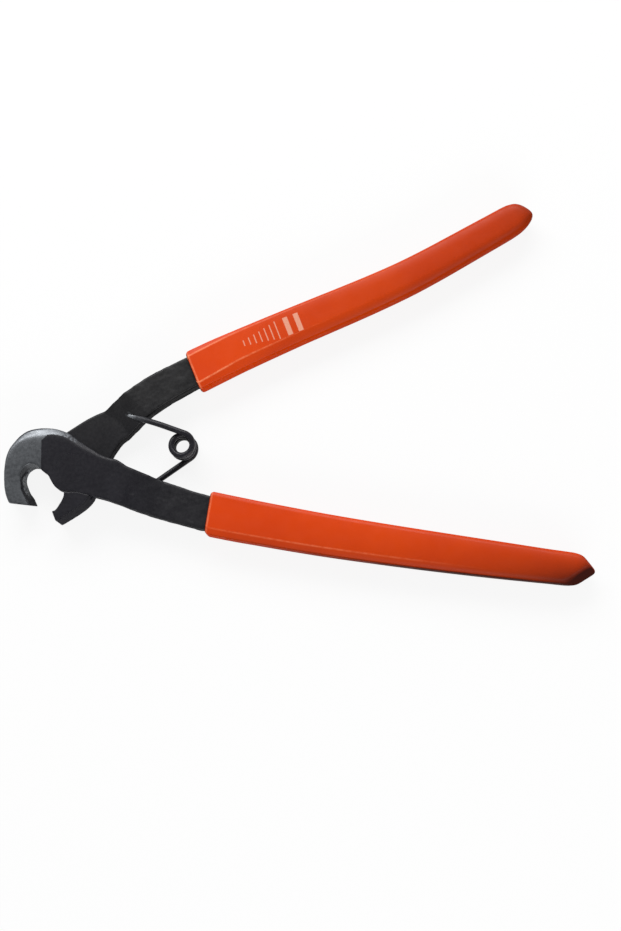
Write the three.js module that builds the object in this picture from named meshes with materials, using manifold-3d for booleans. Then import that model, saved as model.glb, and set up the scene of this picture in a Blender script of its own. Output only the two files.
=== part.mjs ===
// Hooked tile nippers: two forged steel levers that cross in a lap joint at a flush rivet, a torsion
// spring that holds them open, and two dipped handle grips. Millimetres, angles in degrees.
// The tool lies flat with its back at z = 0. The pivot axis is the Z axis, the jaws point to -X and
// the handles open evenly to both sides of +X. The pose is the relaxed, open one.
import * as THREE from 'three';
import { mergeVertices } from 'three/addons/utils/BufferGeometryUtils.js';
import Module from 'manifold-3d';

const wasm = await Module();
wasm.setup();

// Driving sizes of the whole tool
const handleReach = 167; // pivot to the handle ends, along X
const headReach = 23; // pivot to the far side of the hook, along X
const headThickness = 11; // both levers at the joint, and each jaw
const neckThickness = 6.6; // a lever beyond the joint, and its tang
const cutOverrun = 2; // how far a cutter runs past what it cuts
const stationSpacing = 10; // between the places where a handle's width is taken

// Lap joint
const lapGap = 0.2; // between the two plates
const hookShoulderRadius = 11.5; // where the full thickness of the hooked jaw begins
const bossRadius = 11.2; // rounded end of the plate that turns inside that shoulder
const anvilShoulderRadius = 8.6; // where the full thickness of the anvil jaw begins
const shoulderClearance = 0.25; // between the anvil jaw and the heel of the hook lever when wide open
const furtherOpening = 1; // from the relaxed pose to the widest one
const hookLapRadius = 20.2; // where the hook lever's neck starts to regain its back half
const anvilLapRadius = 22.4; // where the anvil lever's neck starts to regain its front half
const lapRampReach = 8.6; // how much further out it is regained
const rampStart = 20; // along each neck, where its outer face starts to fall
const rampEnd = 31; // where that face reaches the thickness of the neck
const neckCutStart = 8; // where the thinning of the necks starts, along X, well inside the lap cuts

// Sharpening of the hooked jaw: how far a face moves from the front of the tool to its back
const endFaceLean = 1.44; // into the jaw
const biteFaceLean = 1.38; // out of the jaw, below the top of the bite face
const throatFaceLean = 1; // out of the jaw, above it
const jawCutReach = 4; // how far the cutters for these faces reach out

// Rivet
const rivetShankRadius = 3;
const rivetHeadRadius = 4.4;
const rivetHeadDepth = 1.6;
const rivetClearance = 0.12;

// Steel of the handles: widths seen from the front
const hookRootWidth = 12.9;
const hookWaistWidth = 11.4;
const hookTangEndWidth = 8.4;
const anvilRootWidth = 12.1;
const anvilWaistWidth = 10.5;
const anvilTangEndWidth = 8.6;
const tangStop = 9; // from the end of the tang to the end of the grip

// Dipped grips
const hookGripStart = 30.5; // along the centre line, from the root of the neck
const anvilGripStart = 31;
const gripMouthSlant = 1; // how much further along a mouth lies on its outer side than on its inner side
const hookGripMouthWidth = 14.8;
const hookGripBellyWidth = 14.2;
const hookGripEndWidth = 10.9;
const anvilGripMouthWidth = 14.1;
const anvilGripBellyWidth = 12.9;
const anvilGripEndWidth = 11.2;
const gripNose = 9; // the stretch over which the closed end narrows
const gripThickness = 9;
const gripEdgeRound = 2;
const gripClearance = 0.15;

// Torsion spring
const wireDiameter = 2;
const coilRadius = 3.75; // to the middle of the wire
const coilReach = 37.85; // pivot to the axis of the coil
const coilAngle = 3.25;
const coilWholeTurns = 3;
const armStandOff = 0.15; // between an arm and the face of the lever that it crosses
const bendRadius = 1.6;
const hookHoleReach = 22.3; // pivot to the hole for the arm behind the hook lever
const hookHoleAngle = -30.1;
const anvilHoleReach = 26.4; // pivot to the hole for the arm in front of the anvil lever
const anvilHoleAngle = 36.5;
const wireClearance = 0.2;
const holeEndClearance = 0.6; // between the end of the wire and the bottom of its hole

// How finely curves are divided
const plateDivisions = 6; // of each stretch of an outline
const lapDivisions = 8;
const gripDivisions = 3;
const leastEdge = 0.05; // the shortest edge in an outline
const roundSides = 40;
const lapSides = 72;
const curlSteps = 8;
const wireSides = 5;
const bendSteps = 3;
const edgeRings = 3;
const endSteps = 14;

// Outline of the hook lever's head, in shares of headReach, counter-clockwise from the neck
const hookCrownShares = [
  [0.691, 0.01], [0.574, 0.065], [0.452, 0.138], [0.317, 0.255], [0.183, 0.37], [0.03, 0.52],
  [-0.115, 0.605], [-0.245, 0.648], [-0.368, 0.669], [-0.493, 0.671], [-0.59, 0.652],
  [-0.688, 0.601], [-0.78, 0.526], [-0.87, 0.428], [-0.94, 0.288], [-0.981, 0.135], [-1.002, -0.013],
  [-1.008, -0.131], [-0.998, -0.253], [-0.968, -0.368],
];
const hookTipShare = [-0.611, -0.471];
const hookMouthShares = [
  [-0.636, -0.399], [-0.663, -0.3], [-0.712, -0.204], [-0.741, -0.104], [-0.752, -0.017], [-0.73, 0.065],
  [-0.678, 0.126], [-0.6, 0.159], [-0.522, 0.143], [-0.461, 0.09], [-0.413, 0.02], [-0.352, -0.036],
  [-0.318, -0.12], [-0.294, -0.181], [-0.261, -0.241], [-0.211, -0.287], [-0.145, -0.318],
];
const hookHeelShares = [
  [-0.026, -0.346], [0.055, -0.373], [0.104, -0.393], [0.235, -0.448], [0.365, -0.504], [0.461, -0.548],
];

// The edge of the hooked jaw on the front face, sharpened from the foot of its bite face to its end
const hookEdgeShare = [-0.681, -0.451];
const hookBiteTopShare = [-0.757, -0.205];
const hookThroatTopShare = [-0.752, -0.02];

// Outline of the anvil lever's head, in shares of headReach, counter-clockwise from the neck
const anvilBackShares = [[0.417, 0.774], [0.257, 0.717], [0.1, 0.648], [-0.039, 0.587]];
const anvilBossAngles = [102, 150];
const anvilThroatShares = [
  [-0.387, 0.148], [-0.335, 0.022], [-0.304, -0.087], [-0.261, -0.183], [-0.2, -0.257], [-0.152, -0.326],
  [-0.157, -0.387], [-0.191, -0.448], [-0.235, -0.504], [-0.278, -0.552], [-0.313, -0.583],
];
const anvilLipShare = [-0.357, -0.587];
const anvilToeShare = [-0.322, -0.743];
const anvilHeelShares = [
  [-0.23, -0.709], [-0.117, -0.661], [-0.032, -0.624], [0.06, -0.578], [0.139, -0.527], [0.203, -0.467],
  [0.247, -0.407], [0.309, -0.307], [0.386, -0.184], [0.478, -0.026], [0.574, 0.126], [0.678, 0.248],
  [0.761, 0.322],
];

// Centre lines of the handles, from the root of the neck to the end of the grip, in shares of handleReach
const hookCentreShares = [
  [0.0934, -0.0479], [0.1473, -0.0784], [0.2174, -0.1138], [0.2599, -0.1323], [0.3353, -0.1605],
  [0.4743, -0.2096], [0.6144, -0.2551], [0.7539, -0.2982], [0.8904, -0.3389], [0.997, -0.3697],
];
const anvilCentreShares = [
  [0.0982, 0.0808], [0.1563, 0.1162], [0.2096, 0.1395], [0.2731, 0.1605], [0.3509, 0.1832],
  [0.4832, 0.218], [0.6377, 0.2563], [0.7389, 0.285], [0.8431, 0.3222], [0.9461, 0.3605], [1.001, 0.377],
];

// Where the lap joint's cuts begin and end around the pivot
const hookCutAngles = [-90, 107];
const anvilCutAngles = [-45, 180];

// Levels
const midHeight = headThickness / 2;
const neckBack = midHeight - neckThickness / 2;
const neckFront = midHeight + neckThickness / 2;

const radians = THREE.MathUtils.degToRad;

function polar(reach, angle) {
  return new THREE.Vector2(reach * Math.cos(radians(angle)), reach * Math.sin(radians(angle)));
}

function scaled(shares, size) {
  return shares.map(([x, y]) => new THREE.Vector2(x * size, y * size));
}

// A closed geometry as a solid for joining and cutting
function toSolid(geometry) {
  geometry.deleteAttribute('normal');
  geometry.deleteAttribute('uv');
  const merged = mergeVertices(geometry);
  const corners = [];
  for (let i = 0; i < merged.index.count; i += 3) {
    const [a, b, c] = [0, 1, 2].map((k) => merged.index.getX(i + k));
    if (a !== b && b !== c && c !== a) {
      corners.push(a, b, c);
    }
  }
  return new wasm.Manifold(new wasm.Mesh({
    numProp: 3,
    vertProperties: new Float32Array(merged.attributes.position.array),
    triVerts: new Uint32Array(corners),
  }));
}

function toGeometry(solid) {
  const mesh = solid.getMesh();
  const geometry = new THREE.BufferGeometry();
  geometry.setAttribute('position', new THREE.BufferAttribute(new Float32Array(mesh.vertProperties), 3));
  geometry.setIndex(new THREE.BufferAttribute(new Uint32Array(mesh.triVerts), 1));
  geometry.computeVertexNormals();
  return geometry;
}

// The outline as straight edges, with none shorter than leastEdge
function cleanShape(shape, divisions) {
  const points = [];
  for (const point of shape.getPoints(divisions)) {
    const last = points[points.length - 1];
    if (!last || last.distanceTo(point) > leastEdge) {
      points.push(point);
    }
  }
  while (points[points.length - 1].distanceTo(points[0]) < leastEdge) {
    points.pop();
  }
  return new THREE.Shape(points);
}

function plate(shape, low, high) {
  const options = { depth: high - low, bevelEnabled: false };
  return toSolid(new THREE.ExtrudeGeometry(cleanShape(shape, plateDivisions), options).translate(0, 0, low));
}

// A round solid about the pivot axis from pairs of radius and height
function turned(profile, sides) {
  const points = profile.map(([radius, height]) => new THREE.Vector2(radius, height));
  return toSolid(new THREE.LatheGeometry(points, sides).rotateX(Math.PI / 2));
}

// One side of a handle, offset from its centre line. The width follows the distance from the root.
function handleSide(curve, widthAt, from, to, side) {
  const length = curve.getLength();
  const spans = Math.ceil((to - from) / stationSpacing);
  const points = [];
  for (let i = 0; i <= spans; i += 1) {
    const along = from + ((to - from) * i) / spans;
    const share = THREE.MathUtils.clamp(along / length, 0, 1);
    const centre = curve.getPointAt(share);
    const heading = curve.getTangentAt(share);
    const normal = new THREE.Vector2(-heading.y, heading.x);
    points.push(centre.add(normal.multiplyScalar((side * widthAt(along)) / 2)));
  }
  return points;
}

// Linear from the root to the waist, where the grip starts, and on to the end of the tang
function steelWidth(root, waist, end, waistAt, endAt) {
  return (along) => (along < waistAt
    ? THREE.MathUtils.lerp(root, waist, along / waistAt)
    : THREE.MathUtils.lerp(waist, end, (along - waistAt) / (endAt - waistAt)));
}

// A grip's width swells a little after its mouth and then tapers
function gripWidth(mouth, belly, end, from, to) {
  return (along) => {
    const t = (along - from) / (to - from);
    return mouth * (1 - t) ** 2 + 2 * belly * t * (1 - t) + end * t ** 2;
  };
}

// Both levers share the way that the handle is described. inner is the side that faces the other one.
function handle(centreShares, sizes) {
  const curve = new THREE.SplineCurve(scaled(centreShares, handleReach));
  const length = curve.getLength();
  const tangEnd = length - tangStop;
  return {
    curve,
    length,
    tangEnd,
    inner: sizes.inner,
    gripStart: sizes.gripStart,
    steel: steelWidth(sizes.root, sizes.waist, sizes.tangEnd, sizes.gripStart, tangEnd),
    grip: gripWidth(sizes.mouth, sizes.belly, sizes.end, sizes.gripStart, length),
  };
}

const hookHandle = handle(hookCentreShares, {
  inner: 1,
  gripStart: hookGripStart,
  root: hookRootWidth,
  waist: hookWaistWidth,
  tangEnd: hookTangEndWidth,
  mouth: hookGripMouthWidth,
  belly: hookGripBellyWidth,
  end: hookGripEndWidth,
});
const anvilHandle = handle(anvilCentreShares, {
  inner: -1,
  gripStart: anvilGripStart,
  root: anvilRootWidth,
  waist: anvilWaistWidth,
  tangEnd: anvilTangEndWidth,
  mouth: anvilGripMouthWidth,
  belly: anvilGripBellyWidth,
  end: anvilGripEndWidth,
});

// The rivet, and the space that it takes in the levers
function rivetProfile(clearance, overrun) {
  const head = rivetHeadRadius + clearance;
  const shank = rivetShankRadius + clearance;
  return [
    [0, -overrun],
    [head, -overrun],
    [head, clearance],
    [shank, rivetHeadDepth + clearance],
    [shank, headThickness - rivetHeadDepth - clearance],
    [head, headThickness - clearance],
    [head, headThickness + overrun],
    [0, headThickness + overrun],
  ];
}

function makeRivet() {
  return turned([
    [0, 0],
    [rivetHeadRadius, 0],
    [rivetShankRadius, rivetHeadDepth],
    [rivetShankRadius, headThickness - rivetHeadDepth],
    [rivetHeadRadius, headThickness],
    [0, headThickness],
  ], roundSides);
}

// The part of the hook lever's lap cut seen from the front: round about the pivot, further out between angles
function hookLapShape(outerRadius) {
  const [from, to] = hookCutAngles.map(radians);
  const shape = new THREE.Shape();
  shape.absarc(0, 0, hookShoulderRadius, to, from + 2 * Math.PI, false);
  shape.absarc(0, 0, outerRadius, from, to, false);
  shape.closePath();
  return shape;
}

// The same for the anvil lever, where the shoulder of the jaw follows the heel of the hook lever at its widest
function anvilLapShape(outerRadius) {
  const [from, to] = anvilCutAngles.map(radians);
  const shoulder = scaled(hookHeelShares, headReach).map((place) => {
    const reach = place.length();
    const angle = place.angle() - radians(furtherOpening) - shoulderClearance / reach;
    return new THREE.Vector2(reach * Math.cos(angle), reach * Math.sin(angle));
  }).filter((place) => place.length() > anvilShoulderRadius);
  const shape = new THREE.Shape();
  shape.absarc(0, 0, anvilShoulderRadius, to, shoulder[0].angle(), false);
  shape.splineThru(shoulder);
  shape.absarc(0, 0, outerRadius, from, to, false);
  shape.closePath();
  return shape;
}

// A lap cut: flat out to one radius, from where its floor slopes to the face of the neck and past it
function lapCut(shapeWithin, radius, floor, face) {
  const away = Math.sign(face - floor);
  const clear = away > 0 ? headThickness + cutOverrun : -cutOverrun;
  const outer = radius + lapRampReach * ((clear - floor) / (face - floor));
  const rim = [[0, floor], [radius, floor], [outer, clear], [0, clear]];
  const within = cleanShape(shapeWithin(outer + cutOverrun), lapDivisions);
  const margin = 2 * cutOverrun;
  const block = new THREE.ExtrudeGeometry(within, { depth: headThickness + 2 * margin, bevelEnabled: false });
  const cone = turned(away > 0 ? rim : rim.reverse(), lapSides);
  return toSolid(block.translate(0, 0, -margin)).intersect(cone);
}

// A block over the handle from the height of the neck's face outwards, to thin it on one face
function neckFaceCut(low, high) {
  const span = handleReach + headReach;
  return toSolid(new THREE.BoxGeometry(span, 2 * handleReach, high - low)
    .translate(neckCutStart + span / 2, 0, (low + high) / 2));
}

// A wedge that lets the outer face of a plate fall to the neck's face, along the heading of the neck
function rampCut(curve, outerHeight, faceHeight) {
  const heading = curve.getTangentAt(0);
  const away = Math.sign(outerHeight - faceHeight);
  const clear = outerHeight + away * cutOverrun;
  const shape = new THREE.Shape();
  shape.moveTo(rampStart, outerHeight);
  shape.lineTo(rampEnd, faceHeight);
  shape.lineTo(handleReach + headReach, faceHeight);
  shape.lineTo(handleReach + headReach, clear);
  shape.lineTo(rampStart - cutOverrun, clear);
  shape.lineTo(rampStart - cutOverrun, outerHeight);
  const width = 2 * handleReach;
  const geometry = new THREE.ExtrudeGeometry(shape, { depth: width, bevelEnabled: false });
  geometry.translate(0, 0, -width / 2).rotateX(Math.PI / 2).rotateZ(Math.atan2(heading.y, heading.x));
  return toSolid(geometry);
}

// A blind hole for one end of the spring, which stops at the middle height
function springHole(place, low, high) {
  const radius = wireDiameter / 2 + wireClearance;
  return toSolid(new THREE.CylinderGeometry(radius, radius, high - low, roundSides / 2).rotateX(Math.PI / 2)
    .translate(place.x, place.y, (low + high) / 2));
}

// Takes off what lies outside a flat face of a jaw. The face starts from the line between two places on the
// front of the outline, in the outline's order, and leans by lean on its way to the back. The cut runs past
// the two places by the overruns.
function leaningCut(from, to, lean, overrunAtFrom, overrunAtTo) {
  const heading = to.clone().sub(from);
  const slope = lean / headThickness;
  const shape = new THREE.Shape();
  shape.moveTo(slope * cutOverrun, headThickness + cutOverrun);
  shape.lineTo(-lean - slope * cutOverrun, -cutOverrun);
  shape.lineTo(jawCutReach, -cutOverrun);
  shape.lineTo(jawCutReach, headThickness + cutOverrun);
  const depth = heading.length() + overrunAtTo + overrunAtFrom;
  const geometry = new THREE.ExtrudeGeometry(shape, { depth, bevelEnabled: false });
  geometry.translate(0, 0, -overrunAtTo).rotateX(Math.PI / 2).rotateZ(heading.angle() - Math.PI / 2);
  return toSolid(geometry.translate(to.x, to.y, 0));
}

// Goes round the end of a handle on half an ellipse, from its lower side to its upper one
function roundEnd(shape, lever, at, width, reach) {
  const share = at / lever.length;
  const centre = lever.curve.getPointAt(share);
  const heading = lever.curve.getTangentAt(share).angle();
  const [from, to] = [-Math.PI / 2, Math.PI / 2];
  const ellipse = new THREE.EllipseCurve(centre.x, centre.y, reach, width / 2, from, to, false, heading);
  ellipse.getPoints(endSteps).forEach((point) => shape.lineTo(point.x, point.y));
}

function hookOutline() {
  const top = handleSide(hookHandle.curve, hookHandle.steel, 0, hookHandle.tangEnd, 1).reverse();
  const bottom = handleSide(hookHandle.curve, hookHandle.steel, 0, hookHandle.tangEnd, -1);
  const tip = scaled([hookTipShare], headReach)[0];
  const shape = new THREE.Shape();
  shape.moveTo(top[0].x, top[0].y);
  shape.splineThru(top.slice(1));
  shape.splineThru(scaled(hookCrownShares, headReach));
  shape.lineTo(tip.x, tip.y);
  shape.splineThru(scaled(hookMouthShares, headReach));
  shape.splineThru([...scaled(hookHeelShares, headReach), bottom[0]]);
  shape.splineThru(bottom.slice(1));
  const tangEndWidth = hookHandle.steel(hookHandle.tangEnd);
  roundEnd(shape, hookHandle, hookHandle.tangEnd, tangEndWidth, tangEndWidth / 2);
  return shape;
}

function anvilOutline() {
  const top = handleSide(anvilHandle.curve, anvilHandle.steel, 0, anvilHandle.tangEnd, 1).reverse();
  const bottom = handleSide(anvilHandle.curve, anvilHandle.steel, 0, anvilHandle.tangEnd, -1);
  const [lip, toe] = scaled([anvilLipShare, anvilToeShare], headReach);
  const shape = new THREE.Shape();
  shape.moveTo(top[0].x, top[0].y);
  shape.splineThru(top.slice(1));
  shape.splineThru(scaled(anvilBackShares, headReach));
  shape.absarc(0, 0, bossRadius, ...anvilBossAngles.map(radians), false);
  shape.splineThru(scaled(anvilThroatShares, headReach));
  shape.lineTo(lip.x, lip.y);
  shape.lineTo(toe.x, toe.y);
  shape.splineThru([...scaled(anvilHeelShares, headReach), bottom[0]]);
  shape.splineThru(bottom.slice(1));
  const tangEndWidth = anvilHandle.steel(anvilHandle.tangEnd);
  roundEnd(shape, anvilHandle, anvilHandle.tangEnd, tangEndWidth, tangEndWidth / 2);
  return shape;
}

const hookHole = polar(hookHoleReach, hookHoleAngle);
const anvilHole = polar(anvilHoleReach, anvilHoleAngle);
const rivetSpace = turned(rivetProfile(rivetClearance, cutOverrun), roundSides);

// The hook lever lies in front at the joint, so its back half is cut away there
function makeHookLever() {
  const crown = scaled(hookCrownShares, headReach);
  const corner = crown[crown.length - 1];
  const places = [hookEdgeShare, hookBiteTopShare, hookThroatTopShare];
  const [edge, biteTop, throatTop] = scaled(places, headReach);
  return plate(hookOutline(), 0, headThickness)
    .subtract(lapCut(hookLapShape, hookLapRadius, midHeight + lapGap / 2, neckBack))
    .subtract(neckFaceCut(-cutOverrun, neckBack))
    .subtract(rampCut(hookHandle.curve, headThickness, neckFront))
    .subtract(leaningCut(corner, edge, endFaceLean, cutOverrun, jawCutReach))
    .subtract(leaningCut(edge, biteTop, -biteFaceLean, cutOverrun, 0))
    .subtract(leaningCut(biteTop, throatTop, -throatFaceLean, 0, 0))
    .subtract(rivetSpace)
    .subtract(springHole(hookHole, -cutOverrun, midHeight + holeEndClearance));
}

// The anvil lever lies behind at the joint, so its front half is cut away there
function makeAnvilLever() {
  return plate(anvilOutline(), 0, headThickness)
    .subtract(lapCut(anvilLapShape, anvilLapRadius, midHeight - lapGap / 2, neckFront))
    .subtract(neckFaceCut(neckFront, headThickness + cutOverrun))
    .subtract(rampCut(anvilHandle.curve, 0, neckBack))
    .subtract(rivetSpace)
    .subtract(springHole(anvilHole, midHeight - holeEndClearance, headThickness + cutOverrun));
}

// A grip is a rounded sleeve about the tang, closed at its far end
function makeGrip(lever) {
  const end = lever.length - gripNose;
  const startOf = (side) => lever.gripStart + (side === lever.inner ? 0 : gripMouthSlant);
  const upper = handleSide(lever.curve, lever.grip, startOf(1), end, 1).reverse();
  const lower = handleSide(lever.curve, lever.grip, startOf(-1), end, -1);
  const outer = new THREE.Shape();
  outer.moveTo(upper[0].x, upper[0].y);
  outer.splineThru(upper.slice(1));
  outer.lineTo(lower[0].x, lower[0].y);
  outer.splineThru(lower.slice(1));
  roundEnd(outer, lever, end, lever.grip(end), gripNose);
  const skin = toSolid(new THREE.ExtrudeGeometry(cleanShape(outer, gripDivisions), {
    depth: gripThickness - 2 * gripEdgeRound,
    bevelThickness: gripEdgeRound,
    bevelSize: gripEdgeRound,
    bevelOffset: -gripEdgeRound,
    bevelSegments: edgeRings,
  }).translate(0, 0, midHeight - gripThickness / 2 + gripEdgeRound));
  return skin.subtract(makePocket(lever));
}

// The space that the tang takes in its grip
function makePocket(lever) {
  const widthAt = (along) => lever.steel(along) + 2 * gripClearance;
  const start = lever.gripStart - 2 * cutOverrun;
  const upper = handleSide(lever.curve, widthAt, start, lever.tangEnd, 1).reverse();
  const lower = handleSide(lever.curve, widthAt, start, lever.tangEnd, -1);
  const width = widthAt(lever.tangEnd);
  const shape = new THREE.Shape();
  shape.moveTo(upper[0].x, upper[0].y);
  shape.splineThru(upper.slice(1));
  shape.lineTo(lower[0].x, lower[0].y);
  shape.splineThru(lower.slice(1));
  roundEnd(shape, lever, lever.tangEnd, width, width / 2);
  return plate(shape, neckBack - gripClearance, neckFront + gripClearance);
}

// Where a straight arm from a hole touches the coil: before or behind the line to the coil's axis
function tangentPoint(hole, axis, side) {
  const toHole = hole.clone().sub(axis);
  const opening = Math.acos(coilRadius / toHole.length());
  const angle = Math.atan2(toHole.y, toHole.x) + side * opening;
  const outward = new THREE.Vector2(Math.cos(angle), Math.sin(angle));
  return { point: axis.clone().addScaledVector(outward, coilRadius), angle };
}

// The end of an arm: down into its hole at the middle height, with a bend to the arm's own level
function armEnd(hole, target, level) {
  const points = [new THREE.Vector3(hole.x, hole.y, midHeight)];
  const heading = target.clone().sub(hole).normalize();
  const rise = Math.sign(level - midHeight);
  for (let i = 0; i <= bendSteps; i += 1) {
    const turn = (Math.PI / 2) * (i / bendSteps);
    const out = bendRadius * (1 - Math.cos(turn));
    const up = bendRadius * (1 - Math.sin(turn));
    points.push(new THREE.Vector3(hole.x + heading.x * out, hole.y + heading.y * out, level - rise * up));
  }
  return points;
}

// The middle of the wire, from the hole in the anvil lever round the coil to the hole in the hook lever
function springPath(stepsPerTurn) {
  const axis = polar(coilReach, coilAngle);
  const armLift = neckThickness / 2 + armStandOff + wireDiameter / 2;
  const upper = midHeight + armLift;
  const lower = midHeight - armLift;
  const first = tangentPoint(anvilHole, axis, -1);
  const last = tangentPoint(hookHole, axis, 1);
  const extra = THREE.MathUtils.euclideanModulo(first.angle - last.angle, 2 * Math.PI);
  const sweep = extra + coilWholeTurns * 2 * Math.PI;
  const steps = Math.round((sweep / (2 * Math.PI)) * stepsPerTurn);
  const path = armEnd(anvilHole, first.point, upper);
  for (let i = 0; i <= steps; i += 1) {
    const angle = first.angle - (sweep * i) / steps;
    const place = new THREE.Vector2(Math.cos(angle), Math.sin(angle)).multiplyScalar(coilRadius).add(axis);
    path.push(new THREE.Vector3(place.x, place.y, THREE.MathUtils.lerp(upper, lower, i / steps)));
  }
  return path.concat(armEnd(hookHole, last.point, lower).reverse());
}

// The least clear space between two places on the wire that are more than half a turn apart
function leastGap() {
  const path = springPath(curlSteps * curlSteps);
  const along = [0];
  for (let i = 1; i < path.length; i += 1) {
    along.push(along[i - 1] + path[i].distanceTo(path[i - 1]));
  }
  let least = Infinity;
  for (let i = 0; i < path.length; i += 1) {
    for (let j = i + 1; j < path.length; j += 1) {
      if (along[j] - along[i] > Math.PI * coilRadius) {
        least = Math.min(least, path[i].distanceTo(path[j]));
      }
    }
  }
  return least - wireDiameter;
}

// One unbroken tube along the wire's path, with a flat face at each end
function makeSpring() {
  const path = springPath(curlSteps);
  const positions = [];
  const faces = [];
  let normal = new THREE.Vector3(1, 0, 0);
  path.forEach((centre, i) => {
    const before = path[Math.max(i - 1, 0)];
    const after = path[Math.min(i + 1, path.length - 1)];
    const heading = after.clone().sub(before).normalize();
    normal = normal.clone().addScaledVector(heading, -normal.dot(heading)).normalize();
    const side = heading.clone().cross(normal);
    for (let k = 0; k < wireSides; k += 1) {
      const turn = (2 * Math.PI * k) / wireSides;
      const offset = normal.clone().multiplyScalar(Math.cos(turn)).addScaledVector(side, Math.sin(turn));
      positions.push(...centre.clone().addScaledVector(offset, wireDiameter / 2).toArray());
    }
  });
  for (let i = 0; i < path.length - 1; i += 1) {
    for (let k = 0; k < wireSides; k += 1) {
      const a = i * wireSides + k;
      const b = i * wireSides + ((k + 1) % wireSides);
      faces.push(a, b, b + wireSides, a, b + wireSides, a + wireSides);
    }
  }
  const last = (path.length - 1) * wireSides;
  for (let k = 1; k < wireSides - 1; k += 1) {
    faces.push(0, k + 1, k);
    faces.push(last, last + k, last + k + 1);
  }
  const geometry = new THREE.BufferGeometry();
  geometry.setAttribute('position', new THREE.Float32BufferAttribute(positions, 3));
  geometry.setIndex(faces);
  return geometry;
}

const blackSteel = { color: 0x2a2a2d, roughness: 0.5, metalness: 0.6 };
const springSteel = { color: 0x1d1d1f, roughness: 0.4, metalness: 0.7 };
const orangeVinyl = { color: 0xf26a0a, roughness: 0.25, metalness: 0 };

const tool = new THREE.Group();

function addPiece(name, geometry, look) {
  const mesh = new THREE.Mesh(geometry, new THREE.MeshStandardMaterial(look));
  mesh.name = name;
  tool.add(mesh);
}

addPiece('hook_lever', toGeometry(makeHookLever()), blackSteel);
addPiece('anvil_lever', toGeometry(makeAnvilLever()), blackSteel);
addPiece('pivot_rivet', toGeometry(makeRivet()), blackSteel);
addPiece('torsion_spring', makeSpring(), springSteel);
addPiece('hook_grip', toGeometry(makeGrip(hookHandle)), orangeVinyl);
addPiece('anvil_grip', toGeometry(makeGrip(anvilHandle)), orangeVinyl);

console.log(`least gap between the turns of the spring: ${leastGap().toFixed(3)} mm`);

export default tool;
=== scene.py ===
# Hooked tile nippers: the looks of the two forged levers, their spring, rivet and dipped grips.
# Metres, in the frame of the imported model: the pivot axis is Z, the jaws point to -X.
import math

import bmesh
import bpy
import numpy as np
from mathutils import Matrix, Vector, noise


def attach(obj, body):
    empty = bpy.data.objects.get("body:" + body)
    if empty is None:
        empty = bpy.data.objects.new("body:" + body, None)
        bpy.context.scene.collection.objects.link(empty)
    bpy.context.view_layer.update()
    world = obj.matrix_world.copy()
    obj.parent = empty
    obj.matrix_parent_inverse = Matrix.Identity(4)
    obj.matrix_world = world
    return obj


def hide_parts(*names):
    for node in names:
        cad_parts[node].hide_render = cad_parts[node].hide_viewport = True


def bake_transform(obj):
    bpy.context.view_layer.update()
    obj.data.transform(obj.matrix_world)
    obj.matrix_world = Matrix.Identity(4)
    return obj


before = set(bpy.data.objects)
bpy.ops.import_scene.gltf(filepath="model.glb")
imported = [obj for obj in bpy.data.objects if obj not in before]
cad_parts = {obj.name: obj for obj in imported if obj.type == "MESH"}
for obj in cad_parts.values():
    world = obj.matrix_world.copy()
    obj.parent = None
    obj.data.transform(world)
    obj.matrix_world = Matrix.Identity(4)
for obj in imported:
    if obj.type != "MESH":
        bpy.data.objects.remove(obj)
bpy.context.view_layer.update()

MM = 0.001

FRONT = 11 * MM  # how high the front of the jaws and the joint lies, over their back
MID_HEIGHT = FRONT / 2

# Camera, over the middle plane of the tool
EYE_HEIGHT = 660 * MM
EYE_FOOT = (113.4 * MM, -134.1 * MM)
AIM = (79.4 * MM, -11.34 * MM)
IMAGE_ROLL = math.radians(8.6)
IMAGE_RIGHT = Vector((math.cos(IMAGE_ROLL), -math.sin(IMAGE_ROLL), 0))  # in the tool's plane
IMAGE_UP = Vector((math.sin(IMAGE_ROLL), math.cos(IMAGE_ROLL), 0))
FIELD_OF_VIEW = math.radians(26.1)

# Forged levers
VOXEL = 0.26 * MM
HOOK_NECK = (42.4, -21.6), (0.93, -0.37)  # where it enters its grip, in millimetres, and its heading there
ANVIL_NECK = (46.1, 25.4), (0.93, 0.37)
TANG_HIDDEN = 9 * MM  # how far the forging's fine skin goes on inside the grip
TANG_OVERLAP = 2 * MM  # of the plain tang with it
PLUG_RADIUS = 1.7 * MM
PLUG_SIDES = 24
DENT_RADIUS = 1.4 * MM
DENT_DEPTH = 0.2 * MM
WAVE_SIZE = 3.2 * MM
WAVE_HEIGHT = 0.14 * MM
FINE_WAVES = 2.7  # how many to one of the others
FINE_WAVE_HEIGHT = 0.4  # beside the others' height

# Grips
GRIP_THICKNESS = 9 * MM
MOUTH_ROUND = 1.4 * MM  # of the mouth's corners
MOUTH_EDGE = 0.45 * MM  # of its front and back edges
BODY_STATIONS = 90
TIP_STATIONS = 36
TIP_SHARE = 0.08  # of the length, where the stations are closer
DOME_POWER = 4.0  # of the section near the tip, where 2 would be an ellipse
EDGE_ROUND = 0.55 * MM  # across the section, from its side to the chamfer
EDGE_DROP = 0.9 * MM  # and down its side
CHAMFER_SLOPE = 0.4
CREASE_HALF_WIDTH = 0.45 * MM
EDGE_HALF_WIDTH = 3.6 * MM  # half the width below which the edges and chamfers shrink with the grip
FULL_HALF_WIDTH = 4.6 * MM  # and half the width below which it gets thinner
THINNEST = 0.3  # of the full thickness, at the very end
LIP_HEIGHT = 2.5 * MM  # how far from the middle the painted highlight on the mouth's lip begins
END_WALL = 1.5 * MM
POCKET_PLAY = 0.03 * MM
POCKET_OUT = 4 * MM  # past the mouth
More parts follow.
